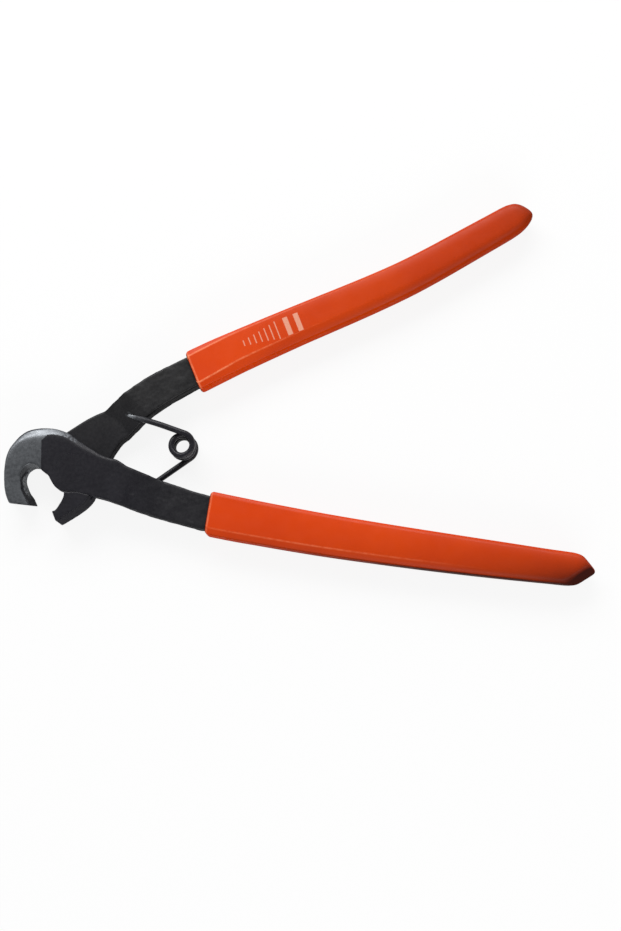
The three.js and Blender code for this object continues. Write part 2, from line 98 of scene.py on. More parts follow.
# Flat faces at the grips' ends: two points in millimetres, counterclockwise, how many degrees the faces lean
# back, and how soft their edges are in millimetres
HOOK_GRIP_CUTS = [((159.7, -65.2), (166.2, -62.4), 38, 0.25), ((166.6, -60.7), (164.2, -56.2), 15, 0.25)]
ANVIL_GRIP_CUTS = [((168.05, 62.8), (163.85, 66.9), 30, 0.9), ((164.9, 56.2), (168.0, 59.6), 30, 0.9)]

# Spring
NECK_THICKNESS = 6.6 * MM
WIRE_DIAMETER = 2 * MM
COIL_RADIUS = 3.85 * MM
COIL_WHOLE_TURNS = 3
COIL_WAIST = 0.13  # by how much its middle turns are smaller
WIRE_SIDES = 16
ARM_STAND_OFF = 0.15 * MM
ARM_SUNK = 0.93  # how much of its height over the middle the upper arm loses by its hole
ARM_SUNK_ENDS = -2 * MM, 13.5 * MM  # from the hole, between which that share fades
BEND_RADIUS = 1.6 * MM
BEND_STEPS = 8
ARM_STEPS = 24


def direction(angle):
    return Vector((math.cos(angle), math.sin(angle)))


HOOK_HOLE = direction(math.radians(-30.1)) * 22.3 * MM
ANVIL_HOLE = direction(math.radians(36.5)) * 26.4 * MM
COIL_AXIS = direction(math.radians(3.25)) * 37.85 * MM


def new_object(name, data):
    obj = bpy.data.objects.new(name, data)
    bpy.context.scene.collection.objects.link(obj)
    return obj


def make_camera():
    data = bpy.data.cameras.new("view")
    camera = new_object("view", data)
    eye = Vector((*EYE_FOOT, MID_HEIGHT + EYE_HEIGHT))
    back = (eye - Vector((*AIM, MID_HEIGHT))).normalized()
    side = IMAGE_UP.cross(back).normalized()
    turn = Matrix((side, back.cross(side), back)).transposed()
    camera.matrix_world = Matrix.Translation(eye) @ turn.to_4x4()
    data.sensor_fit = "VERTICAL"
    data.angle = FIELD_OF_VIEW
    bpy.context.scene.camera = camera


make_camera()


# Meshes

def mesh_from(name, points, faces):
    mesh = bpy.data.meshes.new(name)
    mesh.from_pydata([tuple(p) for p in points], [], faces)
    mesh.update()
    return mesh


def ring_faces(rings, sides):
    """The faces between closed rings of points."""
    faces = []
    for start in range(0, (rings - 1) * sides, sides):
        for k in range(sides):
            a, b = start + k, start + (k + 1) % sides
            faces.append((a, b, b + sides, a + sides))
    return faces


def capped_faces(rings, sides):
    """The same, with a face over the first ring and the last."""
    caps = [tuple(range(sides))[::-1], tuple(range((rings - 1) * sides, rings * sides))]
    return ring_faces(rings, sides) + caps


def close_mesh(mesh, weld=0.0):
    """Joins points that are closer than weld, closes what is still open and turns the faces out."""
    work = bmesh.new()
    work.from_mesh(mesh)
    if weld:
        bmesh.ops.remove_doubles(work, verts=work.verts, dist=weld)
        bmesh.ops.dissolve_degenerate(work, edges=work.edges, dist=weld / 2)
        bmesh.ops.holes_fill(work, edges=work.edges)
    bmesh.ops.recalc_face_normals(work, faces=work.faces)
    work.to_mesh(mesh)
    work.free()


def closed_object(name, points, faces, weld=0.0):
    mesh = mesh_from(name, points, faces)
    close_mesh(mesh, weld)
    return new_object(name, mesh)


def read_points(mesh, what="co"):
    """The points' places, or their normals, as an array."""
    flat = np.empty(3 * len(mesh.vertices))
    mesh.vertices.foreach_get(what, flat)
    return flat.reshape(-1, 3)


def move_points(mesh, co):
    mesh.vertices.foreach_set("co", co.ravel())
    mesh.update()


def set_point_values(mesh, **values):
    for name, amounts in values.items():
        attribute = mesh.attributes.get(name) or mesh.attributes.new(name, "FLOAT", "POINT")
        attribute.data.foreach_set("value", np.asarray(amounts, np.float32))


def unit(heading):
    """A vector, or every row of an array, at length 1."""
    return heading / np.linalg.norm(heading, axis=-1, keepdims=True)


def away_from(co, place):
    """How far each point lies from a place in the plane."""
    return np.hypot(co[:, 0] - place[0], co[:, 1] - place[1])


def lengths_along(line):
    """How far along an open line each of its points lies."""
    steps = np.linalg.norm(np.diff(line, axis=0), axis=1)
    return np.concatenate([[0], np.cumsum(steps)])


def smoothstep(low, high, value):
    t = np.clip((value - low) / (high - low), 0, 1)
    return t * t * (3 - 2 * t)


def fade(low, high, value):
    """1 below the first value and 0 above the second."""
    return 1 - smoothstep(low, high, value)


def apply_modifiers(obj):
    bpy.context.view_layer.update()
    evaluated = obj.evaluated_get(bpy.context.evaluated_depsgraph_get())
    mesh = bpy.data.meshes.new_from_object(evaluated)
    obj.modifiers.clear()
    old, obj.data = obj.data, mesh
    bpy.data.meshes.remove(old)


def boolean(obj, other, operation):
    """Joins or cuts obj by other, which is used up."""
    change = obj.modifiers.new("change", "BOOLEAN")
    change.operation = operation
    change.solver = "MANIFOLD"
    change.object = other
    apply_modifiers(obj)
    bpy.data.objects.remove(other)


def copy_of(node, name):
    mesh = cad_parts[node].data.copy()
    mesh.materials.clear()
    work = bmesh.new()
    work.from_mesh(mesh)
    bmesh.ops.remove_doubles(work, verts=work.verts, dist=1e-6)
    work.to_mesh(mesh)
    work.free()
    return new_object(name, mesh)


def cut_edges(work, point, normal, below=False):
    """Cuts away what lies above a plane, and what lies below it too where asked: the edges of the cut."""
    everything = work.verts[:] + work.edges[:] + work.faces[:]
    cut = bmesh.ops.bisect_plane(
        work, geom=everything, plane_co=point, plane_no=normal, clear_inner=below, clear_outer=True
    )
    return [e for e in cut["geom_cut"] if isinstance(e, bmesh.types.BMEdge)]


def keep_side(obj, point, normal):
    """Cuts obj at a plane, keeps the side that the normal points away from, and closes the cut."""
    work = bmesh.new()
    work.from_mesh(obj.data)
    bmesh.ops.holes_fill(work, edges=cut_edges(work, point, normal), sides=0)
    bmesh.ops.recalc_face_normals(work, faces=work.faces)
    work.to_mesh(obj.data)
    work.free()


def cut_inside(obj, end_cuts):
    """Cuts obj off at a wall's thickness inside a grip's flat end faces."""
    for first, second, rise, softness in end_cuts:
        heading = (Vector(second) - Vector(first)).normalized()
        outward = Vector((heading.y, -heading.x, 0))
        inset = END_WALL + softness * MM + NECK_THICKNESS / 2 * math.tan(math.radians(rise))
        keep_side(obj, Vector((*first, 0)) * MM - outward * inset, outward)


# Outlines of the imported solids

def outline(node, height):
    """The longest outline of a node at one height, counterclockwise and without its straight points."""
    work = bmesh.new()
    work.from_mesh(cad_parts[node].data)
    bmesh.ops.remove_doubles(work, verts=work.verts, dist=1e-6)
    beside = {}
    for edge in cut_edges(work, (0, 0, height), (0, 0, 1), below=True):
        a, b = edge.verts
        beside.setdefault(a, []).append(b)
        beside.setdefault(b, []).append(a)
    loops = []
    left = set(beside)
    while left:
        ahead = [min(left, key=lambda v: (v.co.x, v.co.y))]
        loop = []
        while ahead:
            loop.append(ahead[0])
            left.discard(ahead[0])
            ahead = [v for v in beside[loop[-1]] if v in left]
        loops.append(np.array([v.co[:2] for v in loop]))
    work.free()
    loop = max(loops, key=lambda points: lengths_along(points)[-1])
    ahead = np.roll(loop, -1, 0)
    if (loop[:, 0] * ahead[:, 1] - ahead[:, 0] * loop[:, 1]).sum() < 0:
        loop = loop[::-1]
    return loop[np.abs(turns(loop)) > math.radians(0.05)]


def turns(loop):
    """The turn at each point of a closed outline, in radians, positive to the left."""
    before = loop - np.roll(loop, 1, 0)
    after = np.roll(loop, -1, 0) - loop
    cross = before[:, 0] * after[:, 1] - before[:, 1] * after[:, 0]
    return np.arctan2(cross, (before * after).sum(1))


def resample(points, shares):
    """Points along an open line, at shares of its length."""
    along = lengths_along(points)
    wanted = np.asarray(shares) * along[-1]
    return np.stack([np.interp(wanted, along, points[:, i]) for i in range(points.shape[1])], 1)


def smooth_line(points, spacing):
    """A curve through the points of an open line, at about the given spacing."""
    before = np.vstack([2 * points[0] - points[1], points[:-1]])
    after = np.vstack([points[1:], 2 * points[-1] - points[-2]])
    slope = (after - before) / 2
    out = []
    for i in range(len(points) - 1):
        count = max(1, round(np.linalg.norm(points[i + 1] - points[i]) / spacing))
        for t in np.arange(count) / count:
            near = 2 * t**3 - 3 * t**2 + 1
            bend = (t**3 - 2 * t**2 + t) * slope[i] + (t**3 - t**2) * slope[i + 1]
            out.append(near * points[i] + (1 - near) * points[i + 1] + bend)
    out.append(points[-1])
    return np.array(out)


# Materials

class Nodes:
    """Adds shader nodes to one material."""

    def __init__(self, name):
        self.material = bpy.data.materials.new(name)
        self.material.use_nodes = True
        self.tree = self.material.node_tree
        self.shader = self.tree.nodes["Principled BSDF"]
        coordinates = self.tree.nodes.new("ShaderNodeTexCoord")
        self.place = coordinates.outputs["Object"]
        self.normal = coordinates.outputs["Normal"]

    def link(self, value, socket):
        if hasattr(value, "is_linked"):
            self.tree.links.new(value, socket)
        else:
            socket.default_value = value

    def feed(self, node, **inputs):
        for name, value in inputs.items():
            self.link(value, node.inputs[name.replace("_", " ")])
        return node

    def new(self, kind, **inputs):
        return self.feed(self.tree.nodes.new("ShaderNode" + kind), **inputs)

    def noise(self, scale, detail, place=None):
        place = self.place if place is None else place
        return self.new("TexNoise", Scale=scale, Detail=detail, Vector=place).outputs["Fac"]

    def centred(self, value, strength):
        """A noise about zero, times its strength."""
        return self.math("MULTIPLY", self.math("SUBTRACT", value, 0.5), strength)

    def math(self, operation, a, b=0.0, clamp=False):
        node = self.new("Math")
        node.operation = operation
        node.use_clamp = clamp
        self.link(a, node.inputs[0])
        self.link(b, node.inputs[1])
        return node.outputs[0]

    def spread(self, value, low, high, to_low=0.0, to_high=1.0):
        node = self.new("MapRange", Value=value, From_Min=low, From_Max=high, To_Min=to_low, To_Max=to_high)
        node.interpolation_type = "SMOOTHSTEP"
        return node.outputs["Result"]

    def mix(self, factor, a, b):
        node = self.new("Mix", Factor=factor)
        node.data_type = "RGBA"
        return self.feed(node, A=a, B=b).outputs["Result"]

    def attribute(self, name):
        node = self.new("Attribute")
        node.attribute_name = name
        return node.outputs["Fac"]

    def along(self, way, vector=None):
        """How far a place, or another vector, goes in a direction in the tool's frame."""
        node = self.new("VectorMath")
        node.operation = "DOT_PRODUCT"
        self.link(self.place if vector is None else vector, node.inputs[0])
        node.inputs[1].default_value = way
        return node.outputs["Value"]

    def flatness(self):
        """1 on faces that look up or down, 0 on walls."""
        return self.spread(self.math("ABSOLUTE", self.along((0, 0, 1), self.normal)), 0.45, 0.9)

    def gloss(self, plain, local=None):
        """The specular level: one for the whole surface, and where given a local one in its place."""
        level = self.shader.inputs["Specular IOR Level"]
        level.default_value = plain
        if local is not None:
            self.link(self.math("ADD", local, LEAST_GLOSS), level)

    def bump(self, height, strength, distance):
        node = self.new("Bump", Strength=strength, Distance=distance, Height=height)
        self.feed(self.shader, Normal=node.outputs["Normal"])


LEAST_GLOSS = 0.004  # on the walls
GRIND_EDGE = -10.1 * MM  # where the ground face of the hook ends, along the image's right
GRIND_SOFT = 0.3 * MM
GRIND_CORNER = (-7.0 * MM, 12.1 * MM)  # a place on the line that cuts the corner of the black above it
GRIND_CORNER_WAY = (-0.58, 0.82)  # the direction from that line to the bare steel
BLACK = (0.0105, 0.01, 0.0135, 1), (0.0165, 0.016, 0.0205, 1)
# the paler black stands for a painted sheen on the necks
SHEEN_BLACK = (0.015, 0.0148, 0.0155, 1), (0.0235, 0.0232, 0.0238, 1)
STEEL_DARK = (0.035, 0.037, 0.042, 1)
STEEL_LIGHT = (0.36, 0.38, 0.4, 1)
ORANGE = (0.72, 0.06, 0.002, 1)
ORANGE_DEEP = (0.66, 0.05, 0.002, 1)
VINYL_SHADE = (0.045, 0.009, 0.006, 1)
# the colour of the painted highlights along each crease and on the mouth lips
VINYL_HIGHLIGHT = (1.0, 0.3, 0.14, 1)


def steel_material():
    """Black steel, paler where the points give a painted sheen, with bare steel where they say how much wear
    and painted highlight there is, how ground it is and how bright, that brightness partly the steel's own
    tone and partly painted light and shade.
    """
    n = Nodes("black_steel")
    cast = n.noise(900, 4)
    coarse, fine = n.math("MULTIPLY", n.noise(130, 3), 0.6), n.math("MULTIPLY", n.noise(1400, 2), 0.4)
    blotch = n.spread(n.math("ADD", coarse, fine), 0.35, 0.7)
    # painted sheen: the black turns paler where the points say
    black = n.mix(n.attribute("pale"), n.mix(blotch, *BLACK), n.mix(blotch, *SHEEN_BLACK))
    stretched = n.new("Mapping", Rotation=(0, 0, math.radians(80)), Scale=(1, 3, 1), Vector=n.place)
    grain = n.noise(420, 3, stretched.outputs["Vector"])
    ragged = n.math("MULTIPLY", n.noise(600, 2), 0.3 * MM)
    edge = n.math("ADD", n.along(IMAGE_RIGHT), ragged)
    jaw = n.spread(edge, GRIND_EDGE - 0.05 * MM, GRIND_EDGE + GRIND_SOFT, 1, 0)
    way = Vector((*GRIND_CORNER_WAY, 0)).normalized()
    beyond = Vector((*GRIND_CORNER, 0)).dot(way)
    corner = n.spread(n.math("ADD", n.along(way), ragged), beyond, beyond + GRIND_SOFT)
    left = n.spread(n.along(IMAGE_RIGHT), GRIND_EDGE + 2.2 * MM, GRIND_EDGE + 3.2 * MM, 1, 0)
    jaw = n.math("MAXIMUM", jaw, n.math("MULTIPLY", corner, left))
    chips = n.centred(n.noise(1100, 3), 1.1)
    ground = n.spread(n.math("ADD", n.attribute("ground"), chips), 0.35, 0.6)
    worn = n.spread(n.math("ADD", n.attribute("worn"), chips), 0.35, 0.7)
    worn = n.math("MULTIPLY", worn, n.spread(n.attribute("worn"), 0.02, 0.6))
    bare = n.math("MAXIMUM", n.math("MULTIPLY", jaw, ground), worn)
    marks = n.math("ADD", n.centred(n.noise(110, 2), 0.25), n.centred(grain, 0.18))
    flecks = n.centred(n.noise(1500, 2), n.attribute("flecked"))
    bright = n.math("ADD", n.attribute("bright"), n.math("ADD", marks, flecks), True)
    steel = n.mix(bright, STEEL_DARK, STEEL_LIGHT)
    metal = n.math("MULTIPLY", bare, n.spread(n.flatness(), 0, 1, 0.2, 0.85))
    rough = n.spread(cast, 0.3, 0.7, 0.36, 0.48)
    n.feed(n.shader, Base_Color=n.mix(bare, black, steel), Metallic=metal, Roughness=rough)
    n.gloss(0.2, n.math("MULTIPLY", n.flatness(), 0.24))
    n.bump(n.math("ADD", cast, n.math("MULTIPLY", grain, 0.4)), 0.2, 0.05 * MM)
    return n.material


def wire_material():
    """Black steel wire, with bare steel where the points give wear and a painted glint."""
    n = Nodes("spring_wire")
    skin = n.noise(1500, 3)
    chips = n.centred(n.noise(1100, 2), 0.8)
    bare = n.math("MULTIPLY", n.attribute("worn"), n.math("ADD", chips, 0.8), True)
    colour = n.mix(bare, n.mix(n.spread(skin, 0.3, 0.7), *BLACK), STEEL_LIGHT)
    rough = n.spread(skin, 0.3, 0.7, 0.32, 0.44)
    n.feed(n.shader, Base_Color=colour, Metallic=n.math("MULTIPLY", bare, 0.8), Roughness=rough)
    n.gloss(0.25)
    n.bump(skin, 0.15, 0.03 * MM)
    return n.material


def vinyl_material(name, marked):
    """Orange vinyl, with painted shade and painted highlights where the points say, and pale printed strokes
    on the marked grip.
    """
    n = Nodes(name)
    colour = n.mix(n.spread(n.noise(45, 2), 0.3, 0.7), ORANGE, ORANGE_DEEP)
    # painted shade where the points say, in patches
    patches = n.centred(n.noise(230, 3), 0.12)
    shade = n.math("ADD", n.attribute("shade"), n.math("MULTIPLY", patches, n.attribute("shade")), True)
    colour = n.mix(shade, colour, VINYL_SHADE)
    # painted highlights along each crease and on the mouth's lip, unevenly strong
    uneven = n.spread(n.noise(500, 2), 0.35, 0.6, 0.45, 1.0)
    colour = n.mix(n.math("MULTIPLY", n.attribute("crease"), uneven, True), colour, VINYL_HIGHLIGHT)
    if marked:
        colour = n.mix(printed(n), colour, PRINT)
    n.feed(n.shader, Base_Color=colour, Roughness=n.spread(n.noise(300, 3), 0.3, 0.7, 0.38, 0.48))
    n.gloss(0.25, n.math("MULTIPLY", n.flatness(), n.math("SUBTRACT", 0.2, n.math("MULTIPLY", shade, 0.17))))
    n.bump(n.noise(160, 3), 0.12, 0.25 * MM)
    return n.material


PRINT = (0.8, 0.38, 0.26, 1)
PRINT_STRENGTH = 0.85
PRINT_MIDDLE = (72.9 * MM, 34.9 * MM)
PRINT_HEADING = math.radians(12.5)
PRINT_SOFTNESS = 0.12 * MM
PRINT_HEIGHTS = MID_HEIGHT + 3.9 * MM, MID_HEIGHT + 4.1 * MM  # between which it comes in
# Two broad strokes and a fan of hairlines, in millimetres: how far along the grip from the print's middle,
# how broad, and how long across the grip
PRINT_BARS = (
    (6.4, 1.7, 6.4), (10.2, 1.7, 6.4), (2.6, 0.35, 6.4), (0.6, 0.35, 5.4), (-1.4, 0.35, 4.6),
    (-3.4, 0.35, 3.8), (-5.4, 0.35, 3.2), (-7.4, 0.35, 2.6), (-9.4, 0.35, 2.0),
)


def printed(n):
    """How much of the front face at a place is printed."""
    heading = direction(PRINT_HEADING).to_3d()
    across = Vector((-heading.y, heading.x, 0))
    middle = Vector((*PRINT_MIDDLE, 0))
    result = 0.0
    for place, breadth, length in PRINT_BARS:
        inside = 1.0
        for way, at, size in ((heading, place, breadth), (across, 0, length)):
            off = n.math("ABSOLUTE", n.math("SUBTRACT", n.along(way), middle.dot(way) + at * MM))
            half = size / 2 * MM
            within = n.spread(off, half - PRINT_SOFTNESS, half + PRINT_SOFTNESS, 1, 0)
            inside = n.math("MULTIPLY", inside, within)
        result = n.math("MAXIMUM", result, inside)
    front = n.spread(n.along((0, 0, 1)), *PRINT_HEIGHTS)
    return n.math("MULTIPLY", n.math("MULTIPLY", result, front), PRINT_STRENGTH)


steel = steel_material()
wire = wire_material()
vinyl = vinyl_material("grip_vinyl", False)
marked_vinyl = vinyl_material("grip_vinyl_marked", True)


def dress(obj, material, angle=math.radians(40)):
    obj.data.materials.clear()
    obj.data.materials.append(material)
    obj.data.shade_smooth()
    mod = obj.modifiers.new("shading", "WEIGHTED_NORMAL")
    mod.keep_sharp = True
    obj.data.set_sharp_from_angle(angle=angle)
    apply_modifiers(obj)


# Levers

# Millimetres along the hook lever's outer edge from the jaw's corner to the neck, and there the width and
# depth of the bevel that wear has cut, how bare it is, how bright its steel is, with a painted highlight in
# it, and how dark its outer rim
BEVEL_PLACES = (0, 12, 17, 20, 22.5, 25, 28, 33, 36, 40, 44, 48, 52, 57, 63)
BEVEL_WIDTHS = (0.4, 0.45, 0.6, 0.9, 1.3, 2, 2.6, 2.8, 2.3, 1.9, 1.7, 1.5, 1.2, 0.8, 0.4)
BEVEL_DEPTHS = (0.3, 0.4, 0.45, 0.55, 0.7, 0.9, 1.1, 1.2, 1.15, 1, 0.9, 0.8, 0.65, 0.5, 0.3)
BEVEL_BARENESS = (1, 1, 1, 1, 1, 1, 1, 1, 0.9, 0.75, 0.55, 0.4, 0.28, 0.2, 0)
BEVEL_BRIGHTNESS = (0.3, 0.3, 0.3, 0.3, 0.3, 0.32, 0.36, 0.5, 0.34, 0.22, 0.13, 0.09, 0.07, 0.06, 0.05)
BEVEL_DARK_RIM = (0, 0, 0, 0, 0.3, 1, 1, 1, 0.3, 0.3, 0.3, 0.2, 0, 0, 0)

# The mouth of the hook: its middle, and by the angle around it, how deep a painted line of shade lies on its
# wall, how bright the wall is below that line, partly the bare steel's own tone and partly painted light, and
# how ground it is
MOUTH_MIDDLE = (-12.8 * MM, -0.8 * MM)
MOUTH_REACH = 11.5 * MM
MOUTH_ANGLES = (60, 100, 127, 140, 150, 162, 175, 188, 200, 215, 232, 246, 275)
SHADE_LINE_DEPTHS = (8, 7, 5.8, 6.5, 5.5, 4, 2.4, 1.4, 1.1, 1.1, 1.1, 1, 0.6)
SHADE_LINE_STRENGTHS = (0, 0, 0.5, 0.9, 1, 1, 1, 1, 1, 1, 1, 0.6, 0.3)
WALL_BRIGHTNESS = (0.2, 0.26, 0.45, 0.55, 0.5, 0.44, 0.42, 0.42, 0.36, 0.28, 0.2, 0.1, 0.1)
WALL_GROUND = (0.6, 0.6, 0.7, 0.8, 0.9, 1, 1, 1, 1, 0.9, 0.65, 0.3, 0.25)


def hook_outline():
    """The outline of the hook lever just under its front."""
    return outline("hook_lever", FRONT - 0.5 * MM)


def crown_line():
    """The outer edge of the hook lever's front face, from the neck over the top to the jaw's outer corner."""
    loop = hook_outline()
    corners = np.abs(turns(loop)) > math.radians(35)
    start = int(np.argmax(loop[:, 0]))
    order = np.roll(np.arange(len(loop)), -start)
    first = next(k for k, i in enumerate(order) if corners[i] and loop[i, 0] < 0)
    line = smooth_line(loop[order[: first + 1]], 0.5 * MM)
    return resample(line, np.linspace(0, 1, len(line)))


def bevel_cutter(line, widths, depths):
    """A strip with a three-sided section that takes the front edge off along a line."""
    heading = unit(np.gradient(line, axis=0))
    outward = np.stack([heading[:, 1], -heading[:, 0]], 1)
    out = 1.0 * MM
    points = []
    for p, o, width, depth in zip(line, outward, widths, depths):
        inner = p - o * (width + out * width / depth)
        outer = p + o * out
        points += [(*inner, FRONT + out), (*outer, FRONT + out)]
        points.append((*outer, FRONT - depth - out * depth / width))
    return closed_object("cutter", points, capped_faces(len(line), 3))


def nearest_distance(points, line):
    """The distance in the plane from each point to a line of close points, and the nearest point's number."""
    distance = np.full(len(points), np.inf)
    nearest = np.zeros(len(points), int)
    for i, p in enumerate(line):
        d = away_from(points, p)
        closer = d < distance
        distance[closer] = d[closer]
        nearest[closer] = i
    return distance, nearest


def plug(obj, hole, side):
    """A disc that closes the play round the wire in its hole, flush with the skin around it on one side."""
    rim = []
    for k in range(PLUG_SIDES):
        way = direction(2 * math.pi * k / PLUG_SIDES)
        beside = hole + way * PLUG_RADIUS * 1.2
        start = Vector((*beside, MID_HEIGHT + side * FRONT))
        hit, place, _, _ = obj.ray_cast(start, (0, 0, -side))
        assert hit
        rim.append((*(hole + way * PLUG_RADIUS), place.z))
    height = sum(p[2] for p in rim) / PLUG_SIDES
    points = rim + [(x, y, MID_HEIGHT) for x, y, _ in rim] + [(*hole, height), (*hole, MID_HEIGHT)]
    faces = []
    top, bottom = len(points) - 2, len(points) - 1
    for a, b, under_b, under_a in ring_faces(2, PLUG_SIDES):
        faces += [(a, b, under_b, under_a), (a, b, top), (under_a, under_b, bottom)]
    return closed_object("plug", points, faces)


def roughen(obj):
    """The slight waves of a forging's skin, beyond the joint."""
    co = read_points(obj.data)
    normals = read_points(obj.data, "normal")
    strength = smoothstep(19 * MM, 26 * MM, away_from(co, (0, 0)))
    for i in np.flatnonzero(strength > 0):
        place = Vector(co[i]) / WAVE_SIZE
        wave = noise.noise(place) + FINE_WAVE_HEIGHT * noise.noise(place * FINE_WAVES)
        co[i] += normals[i] * wave * WAVE_HEIGHT * strength[i]
    move_points(obj.data, co)


def forge(node, neck, cutter, hole, side):
    """The lever as a fine mesh with rounded edges, and its tang left plain inside the grip."""
    obj = copy_of(node, node + "_forging")
    tang = copy_of(node, node + "_tang")
    heading = unit(np.array(neck[1]))
    cut = np.array(neck[0]) * MM + heading * TANG_HIDDEN
    keep_side(obj, (*cut, 0), (*heading, 0))
    before = cut - heading * TANG_OVERLAP
    keep_side(tang, (*before, 0), (*-heading, 0))
    if cutter:
        boolean(obj, cutter, "DIFFERENCE")
    boolean(obj, plug(obj, hole, side), "UNION")
    remesh = obj.modifiers.new("fine", "REMESH")
    remesh.mode = "VOXEL"
    remesh.voxel_size = VOXEL
    apply_modifiers(obj)
    # a little everywhere but at the heel, and more beyond the joint
    for repeat, start, end in ((4, -2 * MM, -1 * MM), (14, 15 * MM, 23 * MM)):
        co = read_points(obj.data)
        away, _ = nearest_distance(co, heel_line())
        beyond = smoothstep(start, end, away_from(co, (0, 0)))
        soften(obj, smoothstep(0.8 * MM, 1.6 * MM, away) * beyond, repeat)
    roughen(obj)
    return obj, tang


def soften(obj, weights, repeat):
    """Smooths a mesh where the weights, from 0 to 1, say so."""
    group = obj.vertex_groups.new(name="soft")
    rounded = np.round(weights, 1)
    for w in np.unique(rounded):
        group.add(np.flatnonzero(rounded == w).tolist(), float(w), "REPLACE")
    soft = obj.modifiers.new("soft", "SMOOTH")
    soft.factor = 0.5
    soft.iterations = repeat
    soft.vertex_group = "soft"
    apply_modifiers(obj)
    obj.vertex_groups.clear()


def dent(obj, place):
    """A shallow mark on the front, over the hole for the spring."""
    co = read_points(obj.data)
    away = away_from(co, place) / DENT_RADIUS
    co[:, 2] -= DENT_DEPTH * np.clip(1 - away**2, 0, 1) * (co[:, 2] > MID_HEIGHT)
    move_points(obj.data, co)


def heel_line(spacing=0.4 * MM):
    """The edge of the hook lever's front that lies over the anvil jaw."""
    loop = hook_outline()
    under = loop[(loop[:, 0] > -4 * MM) & (loop[:, 0] < 12 * MM) & (loop[:, 1] < -6.5 * MM)]
    return smooth_line(under[np.argsort(under[:, 0])], spacing)


def close_heel(obj):
    """Draws the anvil jaw's shoulder up to the hook lever's heel."""
    co = read_points(obj.data)
    line = heel_line(0.1 * MM)
    heading = unit(np.gradient(line, axis=0))
    away, nearest = nearest_distance(co, line)
    pull = 0.95 * fade(0.5 * MM, 1.3 * MM, away) * (co[:, 2] > MID_HEIGHT + 0.8 * MM)
    gap = line[nearest] - co[:, :2]
    gap -= heading[nearest] * (gap * heading[nearest]).sum(1)[:, None]
    co[:, :2] += gap * pull[:, None]
    move_points(obj.data, co)


def round_crown(obj, line, widths):
    """Smooths the bevel into the front and into the edge of the crown."""
    co = read_points(obj.data)
    distance, nearest = nearest_distance(co, line)
    width = widths[nearest]
    crown = smoothstep(FRONT - 4 * MM, FRONT - 2.5 * MM, co[:, 2])
    crown *= fade(width + 1.2 * MM, width + 2.6 * MM, distance) * smoothstep(0.15 * MM, 0.6 * MM, distance)
    soften(obj, crown * np.clip(width / (2 * MM), 0, 1), 60)


def crown_looks(co, distance, beyond, place):
    """How bright, how bare or highlighted, and how bevelled the crown is, by the distance from its edge and
    beyond its bevel, and by the place along it, with a painted highlight on the bevel and the heel and a
    painted light gradient up the image."""
    high = smoothstep(FRONT - 3.4 * MM, FRONT - 2.6 * MM, co[:, 2])
    facet = high * fade(-0.2 * MM, 0.3 * MM, beyond)
    glow = high * fade(-0.6 * MM, 1.8 * MM, beyond)
    rim = high * fade(0.45 * MM, 0.85 * MM, distance) * np.interp(place, BEVEL_PLACES, BEVEL_DARK_RIM)
    # the bare steel's tone, with painted light making it lighter towards the image's top
    bright = 0.27 + 0.08 * smoothstep(4 * MM, 12 * MM, co @ np.array(IMAGE_UP))
    # a painted highlight along the bevel, strongest part way along
    bright += (np.interp(place, BEVEL_PLACES, BEVEL_BRIGHTNESS) - bright) * glow
    bright *= 1 - 0.9 * rim
    # a thin light line along the heel, partly wear and partly a painted highlight
    heel = fade(0.15 * MM, 0.5 * MM, nearest_distance(co, heel_line())[0])
    heel *= smoothstep(FRONT - 1 * MM, FRONT - 0.4 * MM, co[:, 2])
    worn = np.maximum(facet * np.interp(place, BEVEL_PLACES, BEVEL_BARENESS), 0.4 * heel)
    return bright, worn, facet


def mouth_looks(co, upright, distance, bright):
    """The brightness with the mouth's wall, its painted line of shade and its painted highlight in it, how
    ground the lever is, and what of its wall lies below the line of shade."""
    off = co[:, :2] - np.array(MOUTH_MIDDLE)
    angle = np.degrees(np.arctan2(off[:, 1], off[:, 0])) % 360
    depth = (FRONT - co[:, 2]) / MM
    inside = (away_from(co, MOUTH_MIDDLE) < MOUTH_REACH) & (distance > 3 * MM)
    wall = inside * fade(0.5, 0.85, upright)
    # a painted line of shade along the wall, at a depth that changes with the angle
    shade_line_depth = np.interp(angle, MOUTH_ANGLES, SHADE_LINE_DEPTHS)
    shade_line = np.exp(-((depth - shade_line_depth) / 2.2) ** 2) * np.interp(angle, MOUTH_ANGLES, SHADE_LINE_STRENGTHS) * inside
    below = wall * smoothstep(shade_line_depth, shade_line_depth + 1.5, depth)
    # painted light and shade: the wall lighter at the mouth's top and dark elsewhere
    bright += (0.03 + 0.24 * fade(105, 132, angle) - bright) * wall
    # a painted highlight along the rounded rim at the mouth's top
    top_rim_highlight = inside * smoothstep(0.3, 0.7, upright) * fade(0.85, 0.98, upright) * (depth < 3)
    bright += 0.1 * top_rim_highlight * fade(105, 130, angle)
    # below the line of shade, the bare steel's own tone mixed with painted light
    bright += (np.interp(angle, MOUTH_ANGLES, WALL_BRIGHTNESS) - bright) * below
    bright *= 1 - 0.95 * shade_line * fade(0.9, 1.0, upright)
    ground = 1 + (np.interp(angle, MOUTH_ANGLES, WALL_GROUND) - 1) * below
    ground -= 0.75 * shade_line * fade(0.8, 0.95, upright) * smoothstep(115, 135, angle)
    return bright, ground, below


